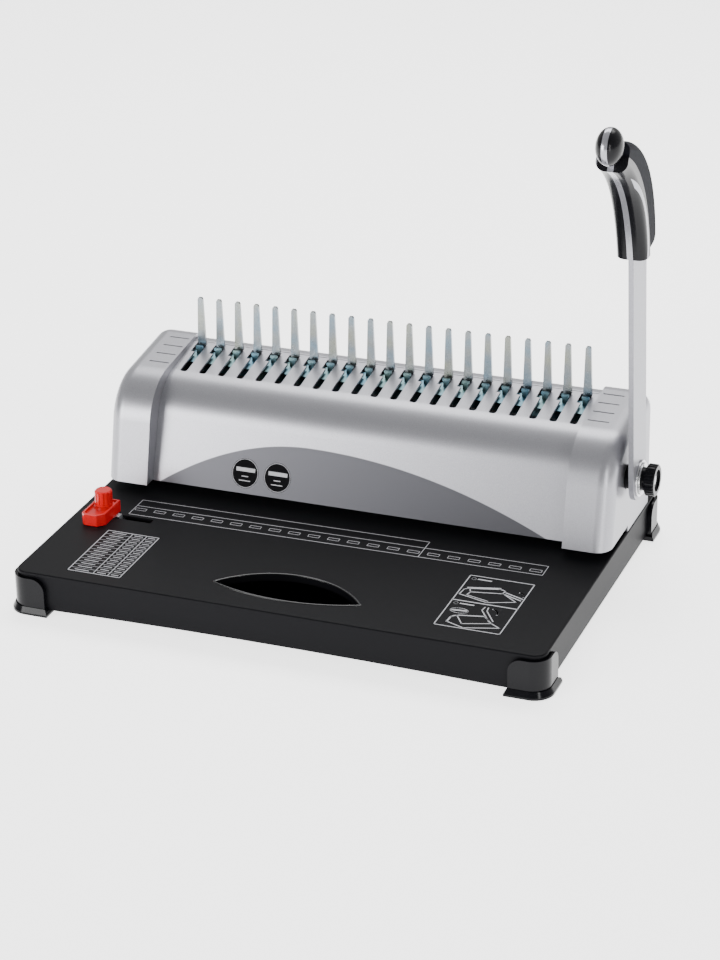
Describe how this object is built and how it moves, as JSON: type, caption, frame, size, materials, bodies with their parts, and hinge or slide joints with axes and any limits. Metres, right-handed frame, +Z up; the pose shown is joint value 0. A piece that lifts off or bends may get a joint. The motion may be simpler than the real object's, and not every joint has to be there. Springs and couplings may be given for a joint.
{
  "type": "comb binding machine",
  "caption": "Desktop machine that punches a row of rectangular holes along a sheet's edge and opens a plastic comb over upright tines, worked by one side lever.",
  "frame": {"origin": "on the table, under the middle of the machine's bounding box, pivot knob and feet included", "axes": "+X along the base and the row of tines to the lever's side, +Y away from the user, +Z up"},
  "size_m": [0.3926, 0.2712, 0.342],
  "materials": {
    "black_sheet": "satin",
    "silver_paint": "satin",
    "silver_plastic": "satin",
    "gloss_black": "gloss",
    "soft_pad": "matte",
    "red_plastic": "gloss",
    "matte_black": "matte",
    "rubber_pad": "matte",
    "zinc_plate": "satin",
    "steel": "satin",
    "silver_lever": "satin",
    "bronze_bush": "satin"
  },
  "bodies": {
    "base": {"base_tray": "black_sheet", "bottom_plate": "black_sheet", "foot_front_right": "gloss_black", "foot_front_left": "gloss_black", "foot_rear_right": "gloss_black", "foot_rear_left": "gloss_black", "foot_pads": "rubber_pad", "foot_screws": "steel", "front_cover": "silver_paint", "rear_cover": "silver_paint", "left_end_cap": "silver_plastic", "right_end_cap": "silver_plastic", "cover_screws": "steel", "side_frame_left": "zinc_plate", "side_frame_right": "zinc_plate", "frame_screws": "steel", "tie_rods": "steel", "shaft_bushes": "bronze_bush", "die_plate": "steel", "throat_spacer": "steel", "guide_plate": "steel", "guide_posts": "steel", "punch_springs": "steel", "comb_rake": "zinc_plate", "hook_springs": "steel", "tray_guides": "steel"},
    "punch": {"punch_bar": "steel", "punch_pins": "steel"},
    "hooks": {"hook_plate": "zinc_plate", "opener_arm": "zinc_plate"},
    "shaft": {"main_shaft": "steel", "cam_left": "steel", "cam_right": "steel", "pivot_washers": "steel", "shaft_circlip": "steel"},
    "pivot_knob": {"pivot_knob": "gloss_black"},
    "lever": {"lever_bar": "silver_lever", "lever_hub": "steel", "opener_finger": "steel", "grip_shell": "gloss_black", "grip_pad": "soft_pad"},
    "side_stop": {"side_stop_block": "red_plastic", "side_stop_stud": "steel", "side_stop_guide": "steel"},
    "stop_knob": {"side_stop_knob": "red_plastic"},
    "chip_tray": {"chip_tray": "matte_black"}
  },
  "joints": [
    {"name": "punch_turn", "type": "hinge", "parent": "base", "child": "shaft", "pos_m": [0.18075, 0.053, 0.073], "axis": [1, 0, 0], "range_deg": [0, 80]},
    {"name": "comb_open", "type": "hinge", "parent": "shaft", "child": "lever", "pos_m": [0.18075, 0.053, 0.073], "axis": [-1, 0, 0], "range_deg": [0, 40]},
    {"name": "punch_bar_slide", "type": "slide", "parent": "base", "child": "punch", "axis": [0, 0, -1], "range_m": [0, 0.008], "stiffness_N_per_m": 4000, "springref_m": -0.008, "deforming": ["punch_springs"]},
    {"name": "hook_slide", "type": "slide", "parent": "base", "child": "hooks", "axis": [0, -0.9859, -0.1676], "range_m": [0, 0.0226], "stiffness_N_per_m": 300, "springref_m": -0.01},
    {"name": "pivot_knob_turn", "type": "hinge", "parent": "shaft", "child": "pivot_knob", "pos_m": [0.18715, 0.053, 0.073], "axis": [1, 0, 0], "range_deg": [0, 360]},
    {"name": "side_stop_slide", "type": "slide", "parent": "base", "child": "side_stop", "axis": [1, 0, 0], "range_m": [0, 0.02]},
    {"name": "stop_knob_turn", "type": "hinge", "parent": "side_stop", "child": "stop_knob", "pos_m": [-0.17115, -0.0337, 0.045], "axis": [0, 0, 1], "range_deg": [0, 180]},
    {"name": "chip_tray_slide", "type": "slide", "parent": "base", "child": "chip_tray", "axis": [-1, 0, 0], "range_m": [0, 0.3]}
  ],
  "couplings": [
    {"joint": "punch_turn", "follows": "punch_bar_slide", "rad_per_m": 174.53},
    {"joint": "comb_open", "follows": "hook_slide", "rad_per_m": 30.89}
  ]
}
